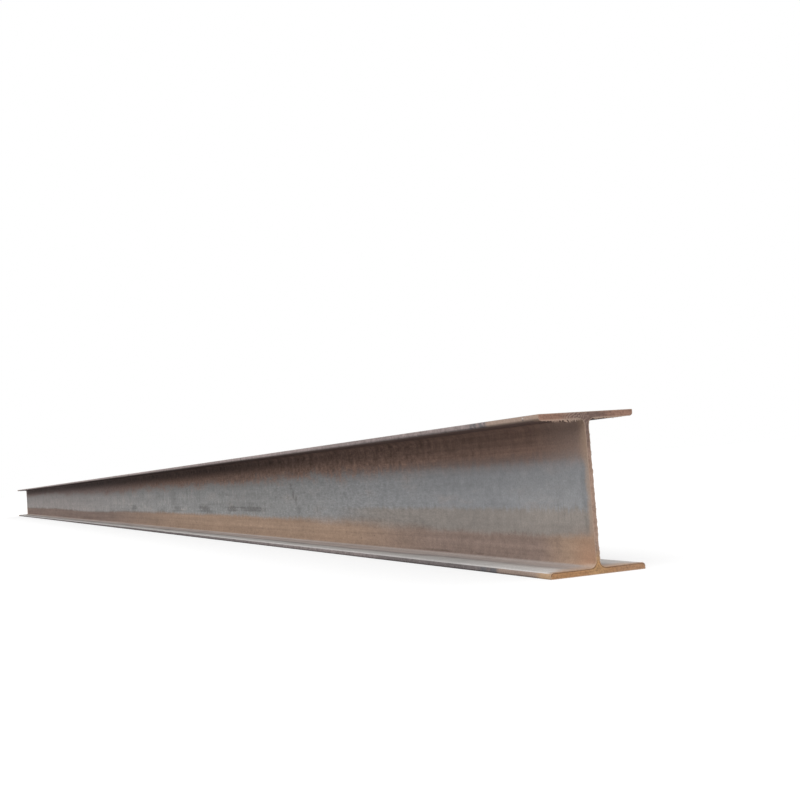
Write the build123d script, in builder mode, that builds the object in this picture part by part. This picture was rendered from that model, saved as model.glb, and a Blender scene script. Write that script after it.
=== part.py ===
"""Hot-rolled steel H-beam: one rolled bar of stock, sawn square at both ends.

The beam stands on its lower flange. X runs along its length, Y across the flanges and Z up the web.
The origin is in the middle of the lower flange's underside.
"""

import os

from build123d import *

# Rolled section, in millimetres.
section_height = 294.0
flange_width = 200.0
web_thickness = 8.0
flange_thickness = 12.0

# Roundings that the rolls leave: the root where the web runs into a flange, the corner of a flange
# toe on the side of the web, and the sharper corner of the toe on the outer face.
root_radius = 13.0
inner_toe_radius = 6.0
outer_toe_radius = 1.5

# Sawn length of the bar.
stock_length = 12000.0

half_height = section_height / 2
half_flange = flange_width / 2
half_web = web_thickness / 2
flange_inner_face = half_height - flange_thickness
mid_height = Plane.YZ.shift_origin((0, 0, half_height))

with BuildPart() as h_beam:
    with BuildSketch(mid_height):
        with BuildLine():
            # One quarter of the section: over the upper flange, round its toe, back along the inner
            # face, round the root and down the web to mid-height. Two mirrors close the outline.
            FilletPolyline(
                (0, half_height),
                (half_flange, half_height),
                (half_flange, flange_inner_face),
                (half_web, flange_inner_face),
                (half_web, 0),
                radius=(outer_toe_radius, inner_toe_radius, root_radius),
            )
            mirror(about=Plane.XZ)
            mirror(about=Plane.YZ)
        make_face()
    extrude(amount=stock_length / 2, both=True)

h_beam.part.label = "h_beam"

os.makedirs("parts", exist_ok=True)
export_step(h_beam.part, "parts/h_beam.step")
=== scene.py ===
import math

import bmesh
import bpy
from mathutils import Matrix, Vector, noise
from mathutils.kdtree import KDTree


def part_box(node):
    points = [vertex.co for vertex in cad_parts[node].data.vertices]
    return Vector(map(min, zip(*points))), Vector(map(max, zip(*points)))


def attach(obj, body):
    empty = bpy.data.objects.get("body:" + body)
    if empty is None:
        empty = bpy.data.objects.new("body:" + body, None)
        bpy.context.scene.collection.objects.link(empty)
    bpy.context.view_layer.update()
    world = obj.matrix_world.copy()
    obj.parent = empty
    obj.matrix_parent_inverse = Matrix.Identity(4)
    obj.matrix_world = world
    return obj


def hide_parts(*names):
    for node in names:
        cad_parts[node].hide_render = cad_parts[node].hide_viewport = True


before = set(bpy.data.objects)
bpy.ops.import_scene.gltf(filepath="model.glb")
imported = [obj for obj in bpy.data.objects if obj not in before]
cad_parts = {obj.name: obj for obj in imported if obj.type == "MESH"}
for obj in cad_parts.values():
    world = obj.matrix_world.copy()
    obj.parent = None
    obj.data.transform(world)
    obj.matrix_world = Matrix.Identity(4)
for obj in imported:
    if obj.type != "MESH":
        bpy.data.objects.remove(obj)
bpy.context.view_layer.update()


# Rolled beam.
# One bar of structural steel, hot rolled: two parallel flanges and a web that runs into them in
# rounded roots. The rolls leave blue-grey mill scale, and weather turns it brown from the flanges on.
half_length, half_width, beam_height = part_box("h_beam")[1]
web_half = 0.004
root_radius = 0.013
toe_round = 0.006
snap = 1e-5

bar = bmesh.new()
bar.from_mesh(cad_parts["h_beam"].data)
bmesh.ops.remove_doubles(bar, verts=bar.verts, dist=snap)
bmesh.ops.dissolve_limit(bar, angle_limit=math.radians(0.5), verts=bar.verts, edges=bar.edges)


# The surface is unrolled for its texture map: u goes round the section and v along the bar.
def section_key(vert):
    return round(vert.co.y, 5), round(vert.co.z, 5)


bake_map = bar.loops.layers.uv.new("OFBake")
cut_faces = [face for face in bar.faces if abs(face.normal.x) > 0.9]
seam = min(cut_faces[0].loops, key=lambda loop: (round(loop.vert.co.z, 5), loop.vert.co.y))
girth = 0.0
round_section = {}
corner = seam
while not round_section or corner != seam:
    round_section[section_key(corner.vert)] = girth
    girth += corner.edge.calc_length()
    corner = corner.link_loop_next
for face in bar.faces:
    if face in cut_faces:
        continue
    turns = [round_section[section_key(loop.vert)] for loop in face.loops]
    closes_ring = max(turns) - min(turns) > girth / 2
    for loop, turn in zip(face.loops, turns):
        loop[bake_map].uv = (girth if closes_ring and turn == 0 else turn, loop.vert.co.x)

# Rings along the bar, close enough for the toes to wander as rolled edges do.
ring_count = 150
ring_pitch = 2 * half_length / ring_count
long_edges = [edge for edge in bar.edges if edge.calc_length() > half_length]
bmesh.ops.subdivide_edges(bar, edges=long_edges, cuts=ring_count - 1, use_grid_fill=True)

toe_wander = 0.0007
toe_wave = 0.6
for vert in bar.verts:
    if abs(vert.co.y) > half_width - toe_round:
        sideways = math.copysign(1, vert.co.y)
        flange = round(vert.co.z / beam_height)
        drift = 0.5 + 0.5 * noise.noise((vert.co.x / toe_wave, 5 * sideways, 3 * flange))
        vert.co.y -= sideways * toe_wander * drift


# Sawn ends of the beam.
# The bar is cut to length by a circular saw, which leaves shallow arcs on the cut face and drags a
# ragged burr out of its trailing edges. The bare steel there rusts first.
ring_depths = (0.0009, 0.0022, 0.0045, 0.009)
grid_pitch = 0.0016
saw_centre = Vector((-0.62, 0.86))
saw_pitch = 0.0052
saw_depth = 0.00026
saw_wobble_rate = 9
tear_pitch = 0.0050
tear_depth = 0.00055
burr_taper = 0.6
burr_pitch = 0.0005
finger_fade = 0.035
weak_finger_share = 0.5
web_burr_share = 0.88
inset = bar.verts.layers.float.new("inset")


def near_cut(side, reach):
    """Vertices, edges and faces of the bar within reach of the cut on that side."""
    limit = half_length - reach - snap / 10
    verts = {vert for vert in bar.verts if vert.co.x * side > limit}
    edges = [edge for edge in bar.edges if verts.issuperset(edge.verts)]
    faces = [face for face in bar.faces if verts.issuperset(face.verts)]
    return list(verts) + edges + faces


def sliced(geometry, point, normal):
    """The geometry after a flat slice through it, which adds edges and takes nothing away."""
    return bmesh.ops.bisect_plane(bar, geom=geometry, dist=snap, plane_co=point, plane_no=normal)["geom"]


def fingers(run, pitch, seed):
    """How far a torn burr hangs at a place along its edge, 0 to 1: thin uneven fingers in clumps."""
    count = run / pitch + 2.2 * noise.noise((run / (2.5 * pitch), seed, 0.3))
    size = 0.55 + 0.45 * noise.cell((math.floor(count), seed, 2.0))
    clump = min(1.0, 0.85 + 0.5 * noise.noise((run / (3 * pitch), seed, 5.0)))
    shreds = 0.14 + 0.12 * noise.noise((run * 3 / pitch, seed, 9.0))
    return shreds + (1 - shreds) * clump * size * (1 - count % 1) ** 1.6


def lumps(run, pitch, seed):
    """How far a rolled-over burr stands at a place along its edge, 0 to 1: low rounded lumps."""
    swell = noise.noise((run / pitch, seed, 0.3)) + 0.5 * noise.noise((run * 2.3 / pitch, seed, 4.1))
    return min(max(0.05, 0.35 + swell), 1.0)


for side in (1, -1):
    end_x = side * half_length
    last_bay = near_cut(side, ring_pitch)
    for depth in ring_depths:
        last_bay = sliced(last_bay, (end_x - side * depth, 0, 0), (1, 0, 0))
    fine_zone = near_cut(side, ring_depths[-1])
    for step in range(1, math.ceil(2 * half_width / grid_pitch)):
        fine_zone = sliced(fine_zone, (0, step * grid_pitch - half_width, 0), (0, 1, 0))
    for step in range(1, math.ceil(beam_height / grid_pitch)):
        fine_zone = sliced(fine_zone, (0, 0, step * grid_pitch), (0, 0, 1))

    # How far each point of the cut face lies inside the outline, for rust, a painted highlight and a painted
    # shadow at its rim.
    outline = KDTree(len(bar.verts))
    cut_verts = [vert for vert in bar.verts if vert.co.x * side > half_length - snap]
    for index, vert in enumerate(cut_verts):
        if any(abs(face.normal.x) < 0.5 for face in vert.link_faces):
            outline.insert(vert.co, index)
    outline.balance()
    for vert in cut_verts:
        vert[inset] = outline.find(vert.co)[2]

    # Burr: under the upper flange, behind the web and, low, on top of the lower flange.
    rim_faces = [
        face for face in bar.faces
        if abs(face.normal.x) < 0.5 and face.calc_center_median().x * side > half_length - ring_depths[0]
    ]
    under_flange, behind_web, on_flange = [], [], []
    for face in rim_faces:
        middle = face.calc_center_median()
        flat_run = root_radius < abs(middle.y) < half_width - toe_round
        clear_of_roots = abs(middle.z / beam_height - 0.5) < web_burr_share / 2
        if face.normal.z < -0.9 and middle.z > beam_height / 2 and flat_run:
            under_flange.append(face)
        elif face.normal.y > 0.9 and middle.y < 2 * web_half and clear_of_roots:
            behind_web.append(face)
        elif face.normal.z > 0.9 and middle.z < beam_height / 2 and flat_run:
            on_flange.append(face)
    burrs = (
        (under_flange, fingers, Vector((0, 0.55, -1)), 0.0090, 0.0048),
        (behind_web, lumps, Vector((0, 1, 0)), 0.0017, 0.0075),
        (on_flange, lumps, Vector((0, 0, 1)), 0.0012, 0.0060),
    )
    for faces, shape, pull, length, pitch in burrs:
        strip = list({item for face in faces for item in (face, *face.edges, *face.verts)})
        if shape is fingers:
            for step in range(1, math.ceil(2 * half_width / burr_pitch)):
                strip = sliced(strip, (0, step * burr_pitch - half_width, 0), (0, 1, 0))
        faces = [item for item in strip if isinstance(item, bmesh.types.BMFace)]
        grown = bmesh.ops.extrude_face_region(bar, geom=faces)["geom"]
        bmesh.ops.delete(bar, geom=faces, context="FACES_ONLY")
        for vert in grown:
            if not isinstance(vert, bmesh.types.BMVert):
                continue
            run = vert.co.z if pull.z == 0 else vert.co.y
            seed = 11 * side + 1000 * length
            reach = length * shape(run, pitch, seed)
            if shape is fingers:
                strength = 1.0 if run * side < 0 else weak_finger_share
                reach *= min(1.0, (half_width - abs(run)) / finger_fade) * strength
            vert[inset] = -reach
            vert.co += pull * reach
            vert.co.x += side * burr_taper * (half_length - vert.co.x * side)

    # Arcs of the saw's teeth and torn grains, both sunk below the plane of the cut.
    for vert in bar.verts:
        if vert.co.x * side < half_length - snap:
            continue
        spot = Vector((vert.co.y, vert.co.z))
        wobble = noise.noise((*(spot * saw_wobble_rate), 3.0 * side))
        groove = 0.5 + 0.5 * math.sin(2 * math.pi * ((spot - saw_centre).length / saw_pitch + wobble))
        tear = 0.5 + 0.5 * noise.noise((*(spot / tear_pitch), 8.0 * side))
        vert.co.x -= side * (saw_depth * groove + tear_depth * tear)

# Strips of the unrolled surface lie side by side on the map, and the two cut faces stand beside them.
strip_count = 3
strip_length = 2 * half_length / strip_count
strip_gap = 0.02
end_scale = 2.2
strip_step = girth + strip_gap
sheet_width = strip_count * strip_step + end_scale * 2 * half_width + 2 * strip_gap
map_margin = 0.004
for face in bar.faces:
    middle = face.calc_center_median()
    on_cut = abs(face.normal.x) > 0.7 and abs(middle.x) > half_length - ring_depths[1]
    face.smooth = True
    face.material_index = 1 if on_cut else 0
    strip = min(int((middle.x + half_length) / strip_length), strip_count - 1)
    for loop in face.loops:
        if on_cut:
            u = strip_count * strip_step + strip_gap + end_scale * (loop.vert.co.y + half_width)
            v = strip_gap + end_scale * (loop.vert.co.z + (middle.x < 0) * (beam_height + strip_gap))
            loop[bake_map].uv = (u / sheet_width, v / sheet_width)
        else:
            turn, run = loop[bake_map].uv
            u = strip * strip_step + strip_gap / 2 + turn
            v = (run + half_length) / strip_length - strip
            loop[bake_map].uv = (u / sheet_width, map_margin + (1 - 2 * map_margin) * v)

sharp_angle = math.radians(38)
mesh = bpy.data.meshes.new("rolled_beam")
bar.to_mesh(mesh)
bar.free()
mesh.set_sharp_from_angle(angle=sharp_angle)
rolled_beam = bpy.data.objects.new("rolled_beam", mesh)
bpy.context.scene.collection.objects.link(rolled_beam)


class Finish:
    """A material being mixed: each method adds one node and gives its output."""

    def __init__(self, name):
        self.material = bpy.data.materials.new(name)
        self.material.use_nodes = True
        self.tree = self.material.node_tree
        self.surface = self.tree.nodes["Principled BSDF"]

    def join(self, socket, value):
        """Links an output to the socket, or sets a number or a colour on it."""
        if isinstance(value, bpy.types.NodeSocket):
            self.tree.links.new(value, socket)
        elif isinstance(value, tuple) and socket.type == "RGBA":
            socket.default_value = (*value, 1.0)
        else:
            socket.default_value = value

    def put(self, kind, values=(), **settings):
        node = self.tree.nodes.new(kind)
        for name, value in settings.items():
            setattr(node, name, value)
        for key, value in dict(values).items():
            self.join(node.inputs[key], value)
        return node

    def parts(self, vector):
        return self.put("ShaderNodeSeparateXYZ", {0: vector}).outputs

    def math(self, operation, first, second=0.0):
        return self.put("ShaderNodeMath", {0: first, 1: second}, operation=operation).outputs[0]

    def times(self, first, *others):
        for other in others:
            first = self.math("MULTIPLY", first, other)
        return first

    def ease(self, value, start, stop):
        """0 before start, 1 past stop and a smooth rise between them."""
        values = {"Value": value, "From Min": start, "From Max": stop}
        return self.put("ShaderNodeMapRange", values, interpolation_type="SMOOTHSTEP").outputs[0]

    def grain(self, place, pitch, detail=3.0, roughness=0.55):
        """Noise of 0 to 1 in lumps about as long as the pitch along x, y and z, in metres."""
        scale = tuple(1 / size for size in pitch)
        spread = self.put("ShaderNodeVectorMath", {0: place, 1: scale}, operation="MULTIPLY").outputs[0]
        values = {"Vector": spread, "Scale": 1.0, "Detail": detail, "Roughness": roughness}
        return self.put("ShaderNodeTexNoise", values).outputs["Fac"]

    def sway(self, value, *noises):
        """The value moved up and down by noises, each given with its whole reach."""
        for source, reach in noises:
            values = {0: source, 1: reach, 2: self.math("SUBTRACT", value, self.math("MULTIPLY", reach, 0.5))}
            value = self.put("ShaderNodeMath", values, operation="MULTIPLY_ADD").outputs[0]
        return value

    def blend(self, amount, first, second):
        """From the first colour at 0 to the second at 1."""
        node = self.put("ShaderNodeMix", data_type="RGBA")
        for socket, value in zip((node.inputs[0], node.inputs[6], node.inputs[7]), (amount, first, second)):
            self.join(socket, value)
        return node.outputs[2]

    def tint(self, colour, factor):
        """The colour made lighter or darker by a factor."""
        node = self.put("ShaderNodeVectorMath", {0: colour, "Scale": factor}, operation="SCALE")
        return node.outputs[0]


# Colours of the mill scale, the rust, the dust and the scraped toes.
scale_blue = (0.226, 0.230, 0.240)
scale_grey = (0.213, 0.212, 0.210)
scale_warm = (0.210, 0.184, 0.174)
scale_khaki = (0.221, 0.194, 0.172)
scuff_dark = (0.085, 0.080, 0.078)
rust_tan = (0.345, 0.243, 0.178)
rust_peach = (0.385, 0.232, 0.155)
rust_dull = (0.246, 0.183, 0.155)
rust_far = (0.205, 0.152, 0.130)
rust_brown = (0.185, 0.119, 0.094)
rust_mauve = (0.175, 0.130, 0.118)
# A darker brown for painted shade on the underside of the upper flange.
shaded_under_brown = (0.130, 0.088, 0.076)
# The darkest colour is painted shade in the web's corner under the upper flange, and also specks of grime in
# the rust.
grime_and_shade = (0.034, 0.021, 0.019)
dust_pale = (0.430, 0.413, 0.400)
dust_grey = (0.315, 0.285, 0.268)
dust_beige = (0.375, 0.322, 0.298)
ledge_sand_highlight = (0.470, 0.345, 0.270)
toe_pale = (0.304, 0.250, 0.241)
toe_mauve = (0.318, 0.263, 0.254)
toe_sand = (0.385, 0.282, 0.222)
toe_gold = (0.500, 0.330, 0.190)
toe_dark = (0.118, 0.105, 0.104)
toe_blue = (0.120, 0.120, 0.128)
nick_bright = (0.600, 0.560, 0.520)

steel = Finish("mill_scale_steel")
place = steel.put("ShaderNodeTexCoord").outputs["Object"]
along, across, height = steel.parts(place)
facing_z = steel.parts(steel.put("ShaderNodeNewGeometry").outputs["Normal"])[2]
off_web = steel.math("ABSOLUTE", across)
to_cut = steel.math("SUBTRACT", half_length, steel.math("ABSOLUTE", along))
side_shift = 3.0
web_side = steel.times(steel.math("SIGN", across), side_shift)
web_place = steel.put("ShaderNodeCombineXYZ", {0: along, 1: web_side, 2: height}).outputs[0]
grit = steel.grain(place, (0.0035, 0.0035, 0.0035), detail=3.0, roughness=0.65)

# Weather runs down the web from the upper flange and creeps up from the lower one, so the scale is
# left as a band with ragged edges. Near the right end a khaki run lies along its lower edge.
runs = steel.grain(web_place, (0.0040, 1.0, 0.050), detail=4.0, roughness=0.6)
drips = steel.grain(web_place, (0.030, 1.0, 0.110), detail=4.0, roughness=0.6)
drift = steel.grain(web_place, (0.90, 1.0, 0.35))
layers = steel.grain(web_place, (1.3, 1.0, 0.011), detail=4.0)
mottle = steel.grain(web_place, (0.026, 1.0, 0.020), detail=6.0, roughness=0.75)
clouds = steel.grain(web_place, (0.22, 1.0, 0.060), detail=6.0, roughness=0.68)
fading = steel.ease(along, 4.6, 5.4)
past_near = steel.ease(along, 5.4, 4.4)
far_run = steel.ease(along, 2.4, 0.6)
last_run = steel.ease(along, -0.9, -2.6)
raggedness = steel.math("SUBTRACT", 1.35, steel.times(fading, 0.95))
upper_edge = steel.sway(height, (runs, 0.012), (drips, steel.times(raggedness, 0.034)))
upper_edge = steel.sway(upper_edge, (drift, steel.times(raggedness, 0.036)))
upper_edge = steel.sway(upper_edge, (mottle, steel.times(raggedness, 0.060)))
upper_edge = steel.sway(upper_edge, (clouds, steel.times(past_near, 0.085)))
upper_edge = steel.math("ADD", upper_edge, steel.times(far_run, 0.009))
upper_edge = steel.math("SUBTRACT", upper_edge, steel.times(last_run, 0.014))
below_rust = steel.ease(upper_edge, 0.236, 0.184)
crisp_edge = steel.math("SUBTRACT", steel.ease(upper_edge, 0.216, 0.203), below_rust)
below_rust = steel.math("ADD", below_rust, steel.times(crisp_edge, steel.sway(0.13, (fading, 0.10))))
lower_edge = steel.sway(height, (drips, 0.010), (drift, 0.014), (mottle, 0.020))
lower_edge = steel.sway(lower_edge, (clouds, 0.022), (runs, 0.010))
lower_edge = steel.math("SUBTRACT", lower_edge, steel.times(steel.ease(along, 4.4, 3.0), 0.008))
lower_edge = steel.math("ADD", lower_edge, steel.times(steel.ease(along, 1.2, -0.4), 0.011))
lower_edge = steel.math("SUBTRACT", lower_edge, steel.times(last_run, 0.012))
lower_edge = steel.math("ADD", lower_edge, steel.times(fading, 0.011))
soft_run = steel.times(steel.ease(along, 4.0, 4.6), steel.ease(along, 5.4, 5.0))
soft_start = steel.math("SUBTRACT", 0.068, steel.times(soft_run, 0.010))
soft_stop = steel.math("ADD", 0.086, steel.times(soft_run, 0.014))
above_rust = steel.ease(lower_edge, soft_start, soft_stop)
scale_cover = steel.times(below_rust, above_rust)

blueness = steel.times(steel.ease(along, 3.6, 5.7), steel.ease(drift, 0.2, 0.6))
scale = steel.blend(steel.ease(along, 3.2, -3.0), steel.blend(blueness, scale_grey, scale_blue), scale_warm)
scale = steel.blend(steel.times(steel.ease(clouds, 0.50, 0.75), 0.35), scale, rust_dull)
khaki_runs = steel.sway(0.025, (steel.ease(along, 5.5, 5.9), 0.035))
khaki_edge = steel.sway(height, (runs, khaki_runs), (mottle, 0.024), (drips, 0.016))
khaki = steel.times(steel.ease(khaki_edge, 0.124, 0.110), steel.ease(along, 4.5, 5.0), 0.9)
scale = steel.blend(khaki, scale, scale_khaki)
scuffs = steel.ease(steel.grain(web_place, (0.110, 1.0, 0.022), detail=5.0, roughness=0.65), 0.560, 0.610)
scale = steel.blend(steel.times(scuffs, steel.ease(along, 5.2, 4.2), 0.20), scale, scuff_dark)
stains = steel.ease(steel.grain(web_place, (0.018, 1.0, 0.160)), 0.60, 0.76)
scale = steel.blend(steel.times(stains, 0.30), scale, scuff_dark)
scale = steel.tint(scale, steel.sway(1.0, (mottle, 0.75), (runs, 0.16), (layers, 0.20), (clouds, 0.60)))
past_middle = steel.ease(along, 4.4, 2.4)
past_mottle = steel.times(past_near, 0.55)
past_layers = steel.times(past_near, 0.12)
scale = steel.tint(scale, steel.sway(1.0, (mottle, past_mottle), (layers, past_layers)))
far_reach = steel.times(past_middle, 0.7)
scale = steel.tint(scale, steel.sway(1.0, (drips, far_reach), (clouds, far_reach)))
shade_depth = steel.math("ADD", 0.14, steel.times(past_middle, 0.08))
top_shade = steel.times(steel.ease(height, 0.11, 0.21), shade_depth)
scale = steel.tint(scale, steel.math("SUBTRACT", 1.03, top_shade))
scale = steel.tint(scale, steel.math("SUBTRACT", 1.0, steel.times(steel.ease(along, 2.5, -3.0), 0.08)))

low_rust = steel.blend(steel.times(fading, steel.ease(to_cut, 0.08, 0.22)), rust_tan, rust_dull)
low_rust = steel.blend(steel.ease(along, 3.2, -0.3), low_rust, rust_far)
low_rust = steel.tint(low_rust, steel.sway(1.0, (layers, 0.70), (mottle, 0.80), (runs, 0.12), (clouds, 0.60)))
specks = steel.ease(steel.grain(web_place, (0.010, 1.0, 0.010), detail=2.0), 0.68, 0.74)
low_rust = steel.blend(steel.times(specks, 0.45), low_rust, grime_and_shade)
root_shade = steel.times(steel.ease(height, 0.038, 0.022), steel.ease(along, 5.3, 4.8))
root_shade = steel.times(root_shade, steel.ease(along, 1.6, 3.0), 0.14)
low_rust = steel.tint(low_rust, steel.math("SUBTRACT", 1.0, root_shade))
pale_streak = steel.ease(steel.math("ABSOLUTE", steel.math("SUBTRACT", height, 0.039)), 0.014, 0.004)
pale_streak = steel.times(pale_streak, steel.ease(along, 5.1, 5.4), 0.13)
low_rust = steel.tint(low_rust, steel.math("ADD", 1.0, pale_streak))
high_rust = steel.blend(steel.ease(along, 2.5, -0.5), rust_brown, rust_mauve)
high_rust = steel.tint(high_rust, steel.sway(1.0, (runs, 0.36), (layers, steel.times(fading, 0.90))))
# Painted shade: the corner of the web under the upper flange darkens to near black, more so away from the
# near end.
corner_start = steel.math("SUBTRACT", 0.228, steel.times(steel.ease(along, 4.5, 1.0), 0.016))
in_corner = steel.ease(steel.sway(height, (drips, 0.036), (mottle, 0.030)), corner_start, 0.264)
shaded_run = steel.sway(steel.times(steel.ease(along, 5.98, 2.9), 0.79), (drift, 0.10))
shaded_run = steel.math("SUBTRACT", shaded_run, steel.times(last_run, 0.14))
painted_corner_shade = steel.times(in_corner, shaded_run)
high_rust = steel.blend(painted_corner_shade, high_rust, grime_and_shade)
past_end = steel.ease(along, 5.8, 4.9)
drip_reach = steel.sway(0.9, (past_end, 0.9))
mottle_reach = steel.sway(1.8, (past_end, 1.8))
high_rust = steel.tint(high_rust, steel.sway(1.04, (drips, drip_reach), (mottle, mottle_reach)))
high_rust = steel.blend(steel.times(steel.ease(to_cut, 0.24, 0.03), 0.65), high_rust, rust_dull)
web_rust = steel.blend(steel.ease(height, 0.125, 0.165), low_rust, high_rust)
web_look = steel.blend(scale_cover, web_rust, scale)
edge_line = steel.times(above_rust, steel.math("SUBTRACT", 1.0, above_rust), past_middle, 0.26)
web_look = steel.tint(web_look, steel.math("SUBTRACT", 1.0, edge_line))
washed = steel.times(steel.ease(along, 5.4, 5.9), steel.ease(height, 0.050, 0.105), 0.16)
web_look = steel.tint(web_look, steel.math("ADD", 1.0, washed))
flecks = steel.grain(web_place, (0.026, 1.0, 0.0055), detail=2.0, roughness=0.8)
fleck_reach = steel.times(past_end, steel.sway(0.75, (above_rust, 0.50)))
web_look = steel.tint(web_look, steel.sway(1.0, (flecks, fleck_reach)))
root_line = steel.ease(steel.math("ABSOLUTE", steel.math("SUBTRACT", height, 0.019)), 0.0035, 0.0010)
root_line = steel.times(root_line, steel.ease(along, 5.10, 5.35), steel.ease(along, 5.80, 5.68))
root_line = steel.times(root_line, steel.ease(clouds, 0.38, 0.52), 0.35)
web_look = steel.tint(web_look, steel.math("SUBTRACT", 1.0, root_line))


def off_mark(mark_x, mark_z, half_run, half_rise):
    """Distance from the middle of a mark on the front of the bar, which is 1 at the mark's rim."""
    side_rate = 10.0
    shape = (1 / half_run, side_rate, 1 / half_rise)
    spread = steel.put("ShaderNodeVectorMath", {0: web_place, 1: shape}, operation="MULTIPLY").outputs[0]
    centre = (mark_x / half_run, -side_shift * side_rate, mark_z / half_rise)
    return steel.put("ShaderNodeVectorMath", {0: spread, 1: centre}, operation="DISTANCE").outputs["Value"]


# Scuffs and smears on the front face of the web: place along, height, half length, half height, strength.
web_marks = (
    (5.872, 0.053, 0.012, 0.028, 0.14),
    (4.245, 0.110, 0.032, 0.016, 0.36),
    (4.225, 0.138, 0.013, 0.014, 0.65),
    (4.200, 0.160, 0.012, 0.014, 0.70),
    (4.180, 0.182, 0.013, 0.012, 0.70),
    (3.700, 0.108, 0.190, 0.013, 0.90),
    (3.550, 0.165, 0.300, 0.055, 0.18),
    (3.400, 0.107, 0.100, 0.013, 0.95),
    (2.940, 0.106, 0.130, 0.014, 0.90),
    (2.350, 0.106, 0.140, 0.014, 0.70),
    (2.260, 0.155, 0.070, 0.038, 0.40),
    (1.160, 0.106, 0.100, 0.015, 0.75),
)
for *mark_box, strength in web_marks:
    mark = steel.ease(steel.sway(off_mark(*mark_box), (mottle, 2.4), (layers, 2.4)), 1.3, 0.4)
    web_look = steel.blend(steel.times(mark, steel.ease(flecks, 0.30, 0.54), strength), web_look, scuff_dark)

# Flanges: brown scale in long patches, dust on what faces up, and toes that were scraped by handling.
patches = steel.grain(place, (0.40, 0.050, 0.050), detail=5.0, roughness=0.65)
lengthwise = steel.grain(place, (0.90, 0.008, 0.008), detail=4.0)
flange_look = steel.blend(steel.ease(patches, 0.40, 0.60), rust_dull, scale_grey)
flange_look = steel.tint(flange_look, steel.sway(0.9, (lengthwise, 0.40), (mottle, 0.30)))
# Painted shade: the underside of the upper flange is a darker brown, and near black away from the near end.
under_side = steel.times(steel.ease(facing_z, -0.3, -0.8), steel.ease(height, 0.20, 0.27))
flange_look = steel.blend(under_side, flange_look, shaded_under_brown)
flange_look = steel.blend(steel.times(under_side, shaded_run), flange_look, grime_and_shade)
crease_shift = steel.times(steel.ease(along, 5.0, 5.5), 0.014)
past_crease = steel.math("SUBTRACT", steel.math("ADD", off_web, crease_shift), 0.054)
dust = steel.blend(steel.ease(steel.sway(past_crease, (patches, 0.05)), 0.002, 0.025), dust_grey, dust_pale)
dust = steel.blend(steel.ease(steel.sway(past_crease, (patches, 0.03)), 0.003, -0.011), dust, dust_beige)
crease = steel.math("ABSOLUTE", steel.sway(past_crease, (patches, 0.04), (drift, 0.03)))
crease = steel.times(steel.ease(crease, 0.011, 0.002), steel.sway(0.27, (past_end, 0.26)))
dust = steel.blend(crease, dust, toe_blue)
outer_edge = steel.math("ADD", 1.0, steel.times(steel.ease(off_web, 0.086, 0.096), 0.16))
clean_end = steel.times(steel.ease(along, 5.4, 5.95), steel.ease(off_web, 0.012, 0.055), 0.30)
dust = steel.tint(dust, steel.times(outer_edge, steel.math("ADD", 1.0, clean_end)))
dust = steel.tint(dust, steel.sway(1.0, (lengthwise, 0.60), (clouds, 0.50)))
ledge = steel.times(steel.ease(facing_z, 0.35, 0.70), steel.ease(height, 0.05, 0.03))
flange_look = steel.blend(steel.times(ledge, 0.95), flange_look, dust)
on_top = steel.times(steel.ease(facing_z, 0.5, 0.95), steel.ease(height, 0.25, 0.27))
on_top = steel.times(on_top, steel.ease(patches, 0.4, 0.7), 0.45)
flange_look = steel.blend(on_top, flange_look, dust_beige)

toe_bands = steel.grain(web_place, (0.30, 1.0, 0.030), detail=5.0, roughness=0.65)
toe_marks = steel.ease(steel.grain(web_place, (0.045, 1.0, 0.05), roughness=0.5), 0.62, 0.70)
toe_paleness = steel.sway(steel.ease(along, 4.9, 5.4), (toe_bands, 1.2))
toe_look = steel.blend(steel.ease(toe_paleness, 0.10, 0.90), toe_mauve, toe_pale)
low_toe = steel.ease(height, 0.15, 0.10)
pale_run = steel.times(steel.ease(along, 3.6, 4.4), steel.ease(along, 5.25, 5.05))
toe_look = steel.blend(steel.times(low_toe, steel.sway(0.67, (pale_run, -0.26))), toe_look, toe_dark)
toe_look = steel.tint(toe_look, steel.sway(1.0, (lengthwise, 0.90), (mottle, 1.40), (grit, 0.80)))
toe_look = steel.blend(steel.times(toe_marks, 0.7), toe_look, toe_dark)

# A blue-grey smudge across the toes, in two lumps with gaps in them.
smudge_x = 5.756
lump_shift = 0.021
to_smudge = steel.math("ABSOLUTE", steel.math("SUBTRACT", steel.sway(along, (mottle, 0.03)), smudge_x))
to_lump = steel.math("ABSOLUTE", steel.math("SUBTRACT", to_smudge, lump_shift))
lump_gaps = steel.ease(steel.grain(web_place, (0.016, 1.0, 0.008), detail=3.0), 0.36, 0.48)
toe_look = steel.blend(steel.times(steel.ease(to_lump, 0.018, 0.008), lump_gaps, 0.75), toe_look, toe_blue)

# Painted shade: each toe is darker at its foot, as a contact shadow, and where it turns under.
painted_foot_shadow = steel.times(steel.ease(height, 0.0044, 0.0014), 0.50)
painted_turn_shade = steel.times(steel.ease(facing_z, -0.05, -0.70), 0.45)
toe_shade = steel.math("SUBTRACT", 1.0, steel.math("MAXIMUM", painted_foot_shadow, painted_turn_shade))
toe_look = steel.tint(toe_look, toe_shade)
on_toe = steel.ease(off_web, half_width - toe_round - 0.001, half_width - toe_round + 0.003)
on_toe = steel.times(on_toe, steel.ease(facing_z, 0.80, 0.50), steel.ease(facing_z, -0.95, -0.70))
flange_look = steel.blend(on_toe, flange_look, toe_look)
on_web = steel.times(steel.ease(off_web, 0.022, 0.007), steel.ease(facing_z, 0.90, 0.58))
colour = steel.blend(on_web, flange_look, web_look)

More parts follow.
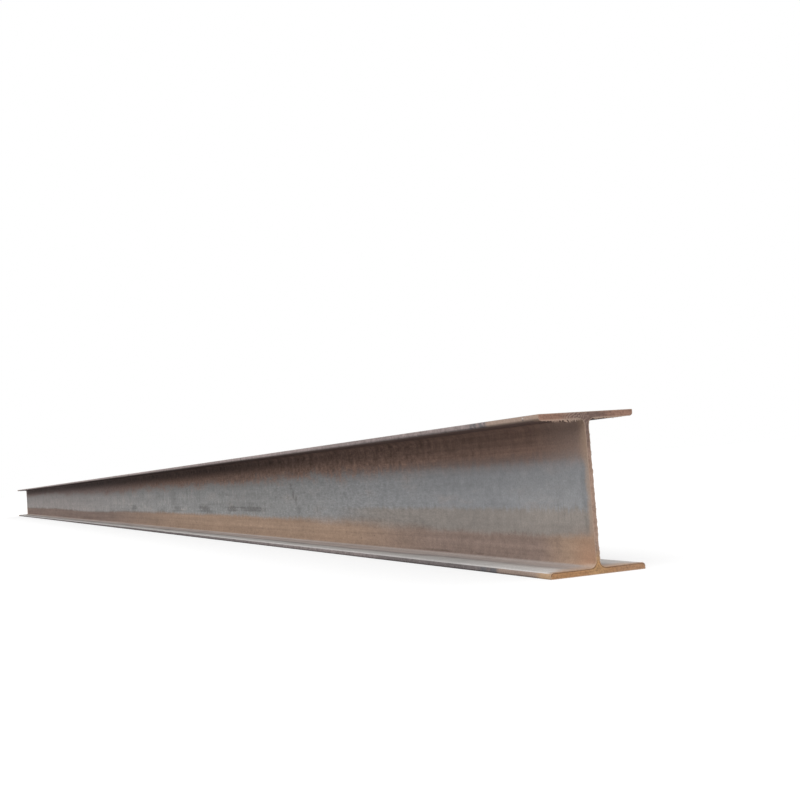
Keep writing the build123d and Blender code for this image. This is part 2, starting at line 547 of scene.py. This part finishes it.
# Fresh rust beside the cut, stronger low down, where the wet stands.
creep = steel.sway(to_cut, (mottle, 0.016), (patches, 0.020), (runs, 0.006))
cut_reach = steel.sway(0.027, (steel.ease(height, 0.195, 0.220), 0.014))
cut_edge = steel.ease(creep, cut_reach, 0.004)
cut_fringe = steel.times(steel.ease(creep, 0.034, 0.022), steel.ease(creep, 0.008, 0.016))
cut_fringe = steel.times(cut_fringe, on_web, scale_cover, 0.15)
colour = steel.tint(colour, steel.math("SUBTRACT", 1.0, cut_fringe))
colour = steel.blend(steel.times(cut_edge, 0.72), colour, rust_tan)
low_wash = steel.times(steel.ease(creep, 0.105, 0.020), steel.ease(height, 0.095, 0.025), on_web, 0.80)
colour = steel.blend(low_wash, colour, rust_peach)
# Fresh rust on the top of the lower flange beside the cut, lightened further as a painted highlight of its
# burr.
ledge_rust_and_highlight = steel.times(ledge, steel.ease(creep, 0.060, 0.015), steel.ease(off_web, 0.092, 0.060), 0.80)
colour = steel.blend(ledge_rust_and_highlight, colour, ledge_sand_highlight)
thin_wash = steel.times(low_toe, steel.ease(creep, 0.050, 0.100), 0.22)
toe_wash = steel.times(on_toe, steel.ease(creep, 0.215, 0.195), steel.math("SUBTRACT", 0.80, thin_wash))
colour = steel.blend(toe_wash, colour, steel.tint(toe_sand, toe_shade))
gold_wash = steel.times(on_toe, steel.ease(creep, 0.060, 0.030), low_toe, 0.70)
colour = steel.blend(gold_wash, colour, toe_gold)

# A small nick in the upper front toe, bright at its upper lip, with a painted shadow below it.
nick_x = 5.943
nick_lip = steel.ease(off_mark(nick_x, 0.2900, 0.0032, 0.0013), 1.3, 0.5)
nick_shadow = steel.ease(off_mark(nick_x, 0.2866, 0.0040, 0.0015), 1.3, 0.5)
colour = steel.blend(steel.times(on_toe, nick_lip, 0.9), colour, nick_bright)
colour = steel.blend(steel.times(on_toe, nick_shadow, 0.7), colour, toe_dark)
colour = steel.tint(colour, steel.sway(1.0, (grit, 0.62)))
steel.join(steel.surface.inputs["Base Color"], colour)

sheen = steel.times(scale_cover, on_web)
steel.join(steel.surface.inputs["Roughness"], steel.math("SUBTRACT", 0.82, steel.times(sheen, 0.24)))
steel.join(steel.surface.inputs["Specular IOR Level"], steel.sway(0.14, (sheen, 0.18)))
relief = steel.put("ShaderNodeBump", {"Strength": 0.5, "Distance": 0.0008, "Height": grit})
steel.join(steel.surface.inputs["Normal"], relief.outputs[0])

# Rust on the sawn faces: tan on the web, brown and grey above it, orange and gold low down.
cut_tan = (0.388, 0.266, 0.208)
cut_brown = (0.328, 0.194, 0.145)
cut_grey = (0.195, 0.132, 0.112)
cut_orange = (0.465, 0.256, 0.130)
cut_sand = (0.478, 0.280, 0.166)
cut_gold = (0.505, 0.300, 0.152)
cut_bright = (0.520, 0.390, 0.310)
pit_and_shadow_dark = (0.150, 0.085, 0.050)

sawn = Finish("sawn_end_rust")
place = sawn.put("ShaderNodeTexCoord").outputs["Object"]
across, height = sawn.parts(place)[1:]
depth = sawn.put("ShaderNodeAttribute", attribute_name="inset").outputs["Fac"]
cloud = sawn.grain(place, (0.03, 0.03, 0.03), detail=4.0)
pits = sawn.grain(place, (0.0045, 0.0045, 0.0045), detail=4.0, roughness=0.7)
round_rim = sawn.put("ShaderNodeCombineXYZ", {0: depth, 1: across, 2: height}).outputs[0]
curls = sawn.grain(round_rim, (0.0014, 0.025, 0.025), detail=2.0)
rising = sawn.sway(height, (cloud, 0.05))
off_centre = sawn.math("ABSOLUTE", across)
upper = sawn.blend(sawn.ease(off_centre, 0.065, 0.018), cut_brown, cut_grey)
colour = sawn.blend(sawn.ease(rising, 0.186, 0.268), cut_tan, upper)
low_look = sawn.blend(sawn.ease(across, 0.020, 0.055), cut_orange, cut_sand)
low_look = sawn.blend(sawn.ease(off_centre, 0.028, 0.008), low_look, cut_gold)
colour = sawn.blend(sawn.ease(rising, 0.050, 0.018), colour, low_look)
colour = sawn.tint(colour, sawn.sway(1.0, (pits, 1.50), (cloud, 0.50), (curls, 0.70)))
colour = sawn.blend(sawn.times(sawn.ease(pits, 0.60, 0.72), 0.6), colour, pit_and_shadow_dark)
saw_place = sawn.put("ShaderNodeCombineXYZ", {1: across, 2: height}).outputs[0]
saw_hub = (0, saw_centre.x, saw_centre.y)
from_hub = sawn.put("ShaderNodeVectorMath", {0: saw_place, 1: saw_hub}, operation="DISTANCE").outputs["Value"]
turns = sawn.sway(sawn.times(from_hub, 2 * math.pi / saw_pitch), (cloud, 40.0), (pits, 6.0))
arcs = sawn.ease(sawn.math("SINE", turns), 0.2, 1.0)
off_arcs = sawn.math("ABSOLUTE", sawn.math("ADD", across, 0.024))
arcs = sawn.times(arcs, sawn.ease(height, 0.262, 0.276), sawn.ease(off_arcs, 0.036, 0.014), 0.46)
colour = sawn.blend(arcs, colour, cut_bright)
# The rim of the cut: rust with a painted highlight.
rim_highlight = sawn.times(sawn.ease(depth, 0.0020, 0.0003), 0.55)
colour = sawn.blend(rim_highlight, colour, cut_bright)
# Painted shadow: a dark line under the burr's lip along the top of the lower flange's cut.
lip_depth = sawn.sway(depth, (curls, 0.0010))
lip_shadow = sawn.times(sawn.ease(lip_depth, 0.0006, 0.0013), sawn.ease(lip_depth, 0.0028, 0.0018))
lip_shadow = sawn.times(lip_shadow, sawn.ease(height, 0.0045, 0.0065), sawn.ease(height, 0.030, 0.014), 0.75)
colour = sawn.blend(lip_shadow, colour, pit_and_shadow_dark)
sawn.join(sawn.surface.inputs["Base Color"], colour)
sawn.surface.inputs["Roughness"].default_value = 0.85
sawn.surface.inputs["Specular IOR Level"].default_value = 0.12
relief = sawn.put("ShaderNodeBump", {"Strength": 0.8, "Distance": 0.0008, "Height": pits})
sawn.join(sawn.surface.inputs["Normal"], relief.outputs[0])

mesh.materials.append(steel.material)
mesh.materials.append(sawn.material)
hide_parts("h_beam")
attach(rolled_beam, "root")


# Floor.
# A plain pale sheet that the beam stands on, large enough to run out of sight. To the camera and in
# reflections it is nearly white with the beam's shadow on it, and it throws a plain light back up.
floor_reach = 600.0
floor_mesh = bpy.data.meshes.new("floor")
sheet = bmesh.new()
bmesh.ops.create_grid(sheet, x_segments=1, y_segments=1, size=floor_reach)
sheet.to_mesh(floor_mesh)
sheet.free()
floor = bpy.data.objects.new("floor", floor_mesh)
bpy.context.scene.collection.objects.link(floor)

pale = Finish("pale_floor")
ray = pale.put("ShaderNodeLightPath").outputs
shown = pale.math("ADD", ray["Is Camera Ray"], ray["Is Glossy Ray"])
shown = pale.math("MINIMUM", pale.math("ADD", shown, ray["Is Transmission Ray"]), 1.0)
bounce = pale.put("ShaderNodeBsdfDiffuse", {"Color": (0.45, 0.45, 0.45)}).outputs[0]
glow = pale.put("ShaderNodeEmission", {"Color": (1.0, 1.0, 1.0), "Strength": 0.55}).outputs[0]
white = pale.put("ShaderNodeAddShader", {0: bounce, 1: glow}).outputs[0]
look = pale.put("ShaderNodeMixShader", {0: shown, 1: bounce, 2: white}).outputs[0]
pale.join(pale.tree.nodes["Material Output"].inputs["Surface"], look)
floor_mesh.materials.append(pale.material)


# Studio light.
# A wide white dome, one broad soft lamp high on the side of the camera and a weaker one behind.
world = bpy.data.worlds.new("studio")
world.use_nodes = True
bpy.context.scene.world = world
links = world.node_tree.links
nodes = world.node_tree.nodes
ray = nodes.new("ShaderNodeLightPath").outputs
level = nodes.new("ShaderNodeMapRange")
level.inputs["To Min"].default_value = 0.75
level.inputs["To Max"].default_value = 1.0
seen = ray["Is Camera Ray"]
for kind in ("Is Glossy Ray", "Is Transmission Ray"):
    either = nodes.new("ShaderNodeMath")
    either.operation = "ADD"
    links.new(seen, either.inputs[0])
    links.new(ray[kind], either.inputs[1])
    seen = either.outputs[0]
links.new(seen, level.inputs["Value"])
links.new(level.outputs[0], nodes["Background"].inputs["Strength"])
nodes["Background"].inputs["Color"].default_value = (1.0, 1.0, 1.0, 1.0)

lamp_distance = 10
lamp_spread = math.radians(70)
lamps = (
    ("soft_lamp", Vector((0.35, -0.75, 0.75)), 1.6),
    ("back_lamp", Vector((-0.10, 0.85, 0.55)), 0.9),
)
for name, lamp_from, energy in lamps:
    light = bpy.data.lights.new(name, "SUN")
    light.energy = energy
    light.angle = lamp_spread
    lamp = bpy.data.objects.new(name, light)
    lamp.rotation_euler = lamp_from.to_track_quat("Z", "Y").to_euler()
    lamp.location = lamp_from * lamp_distance
    bpy.context.scene.collection.objects.link(lamp)


# Camera.
# It stands low beside the near end and looks along the beam, leaning a little to its right.
camera_place = Vector((7.7876, -1.1173, 0.2145))
aim_point = Vector((5.1487, -0.004, 0.3864))
lean = math.radians(-4.20)
camera_data = bpy.data.cameras.new("camera")
camera_data.lens = 51.66
camera_data.sensor_width = 36.0
camera_data.clip_end = 2000.0
camera = bpy.data.objects.new("camera", camera_data)
turn = (aim_point - camera_place).to_track_quat("-Z", "Y").to_matrix().to_4x4()
camera.matrix_world = Matrix.Translation(camera_place) @ turn @ Matrix.Rotation(lean, 4, "Z")
bpy.context.scene.collection.objects.link(camera)
bpy.context.scene.camera = camera

bpy.context.scene.view_settings.view_transform = "Standard"
